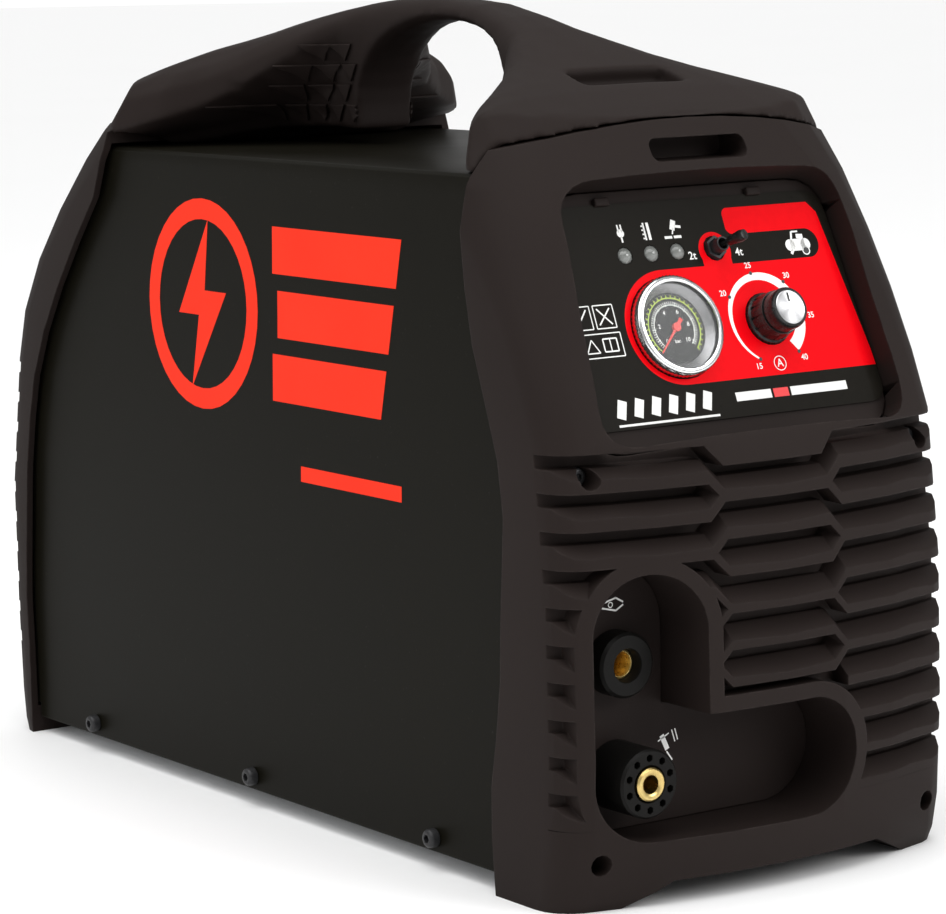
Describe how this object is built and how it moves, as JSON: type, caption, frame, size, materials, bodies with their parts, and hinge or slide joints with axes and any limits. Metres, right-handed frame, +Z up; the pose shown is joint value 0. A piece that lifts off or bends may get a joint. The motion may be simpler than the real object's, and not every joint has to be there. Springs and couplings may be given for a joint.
{
  "type": "plasma cutter",
  "caption": "Portable inverter plasma cutter with built-in compressor: sheet-steel case, louvred moulded ends, arched carry handle and a leaning control panel.",
  "frame": {"origin": "centre of the bounding box on the floor plane", "axes": "+Z up, the control panel faces -Y, +X to the right seen from the front"},
  "size_m": [0.197, 0.4727, 0.348],
  "materials": {
    "bezel_plastic": "fine-textured moulded plastic, brown-black",
    "black_screw": "black oxide steel",
    "brass": "machined brass",
    "capacitor_sleeve": "dark blue sleeve",
    "case_paint": "satin black powder coat on steel sheet",
    "cast_alloy": "cast or extruded aluminium",
    "circuit_board": "green board with fitted parts",
    "connector_black": "glass-filled black plastic",
    "fan_plastic": "black glass-filled plastic",
    "galvanised_steel": "zinc-plated sheet",
    "gauge_black": "black plastic case",
    "gauge_dial": "printed dial",
    "gauge_glass": "clear lens",
    "gauge_ring": "bright plated ring",
    "gland_plastic": "black polyamide",
    "knob_black": "black moulded plastic",
    "lamp_lens": "unlit diffused lens",
    "motor_steel": "dark painted steel",
    "needle_red": "red needle",
    "panel_label": "printed polycarbonate label on a black plate",
    "plated_steel": "nickel-plated steel",
    "rear_plate": "black painted plate",
    "spun_aluminium": "spun aluminium cap",
    "switch_plastic": "glossy black plastic",
    "valve_body": "brass valve with a moulded coil",
    "winding_copper": "enamelled copper winding on a dark core"
  },
  "bodies": {
    "root": {"control_panel": "bezel_plastic", "panel_label": "panel_label", "gauge_case": "gauge_black", "gauge_dial": "gauge_dial", "gauge_lens": "gauge_glass", "gauge_ring": "gauge_ring", "current_potentiometer": "plated_steel", "toggle_body": "plated_steel", "toggle_nut": "plated_steel", "lamp_power": "lamp_lens", "lamp_thermal": "lamp_lens", "lamp_torch": "lamp_lens", "base_tray": "galvanised_steel", "case_cover": "case_paint", "front_bezel": "bezel_plastic", "rear_bezel": "bezel_plastic", "carry_handle": "bezel_plastic", "case_screw_left_1": "black_screw", "case_screw_left_2": "black_screw", "case_screw_left_3": "black_screw", "case_screw_right_1": "black_screw", "case_screw_right_2": "black_screw", "case_screw_right_3": "black_screw", "front_screw_low_left": "black_screw", "front_screw_low_right": "black_screw", "front_screw_high_left": "black_screw", "front_screw_high_right": "black_screw", "rear_screw_low_left": "black_screw", "rear_screw_low_right": "black_screw", "rear_screw_high_left": "black_screw", "rear_screw_high_right": "black_screw", "connector_plate": "bezel_plastic", "earth_socket_body": "connector_black", "earth_socket_contact": "brass", "torch_connector_body": "connector_black", "torch_connector_contact": "brass", "rear_plate": "rear_plate", "mains_switch_housing": "switch_plastic", "cable_gland_body": "gland_plastic", "cable_gland_nut": "gland_plastic", "regulator_body": "plated_steel", "fan_frame": "fan_plastic", "compressor_motor": "motor_steel", "compressor_crankcase": "cast_alloy", "compressor_head": "cast_alloy", "transformer": "winding_copper", "choke": "winding_copper", "heat_sink": "cast_alloy", "power_board": "circuit_board", "capacitor_bank": "capacitor_sleeve", "control_board": "circuit_board", "solenoid_valve": "valve_body"},
    "needle": {"gauge_needle": "needle_red"},
    "current_knob": {"current_knob_skirt": "knob_black", "current_knob_cap": "spun_aluminium"},
    "toggle": {"toggle_lever": "knob_black"},
    "rocker": {"mains_rocker": "switch_plastic"},
    "air_knob": {"regulator_knob": "knob_black"},
    "fan": {"fan_rotor": "fan_plastic"},
    "compressor_shaft": {"compressor_flywheel": "motor_steel"}
  },
  "joints": [
    {"name": "current_knob_turn", "type": "hinge", "parent": "root", "child": "current_knob", "pos_m": [0.025, -0.19849, 0.22202], "axis": [0, 0.9239, -0.3827], "range_deg": [-150, 150]},
    {"name": "toggle_throw", "type": "hinge", "parent": "root", "child": "toggle", "pos_m": [0.0076, -0.18385, 0.24951], "axis": [0, 0.3827, 0.9239], "range_deg": [-24, 0]},
    {"name": "gauge_needle_swing", "type": "hinge", "parent": "root", "child": "needle", "pos_m": [-0.022, -0.19479, 0.22049], "axis": [0, 0.9239, -0.3827], "range_deg": [0, 270], "stiffness_Nm_per_rad": 0.0001},
    {"name": "mains_rocker_tilt", "type": "hinge", "parent": "root", "child": "rocker", "pos_m": [-0.038, 0.1865, 0.216], "axis": [1, 0, 0], "range_deg": [0, 20]},
    {"name": "regulator_knob_turn", "type": "hinge", "parent": "root", "child": "air_knob", "pos_m": [0.042, 0.195, 0.218], "axis": [0, -1, 0], "range_deg": [0, 720]},
    {"name": "fan_spin", "type": "hinge", "parent": "root", "child": "fan", "pos_m": [0, 0.2, 0.105], "axis": [0, 1, 0], "continuous": true},
    {"name": "compressor_shaft_spin", "type": "hinge", "parent": "root", "child": "compressor_shaft", "pos_m": [-0.045, 0, 0.062], "axis": [0, 1, 0], "continuous": true}
  ]
}
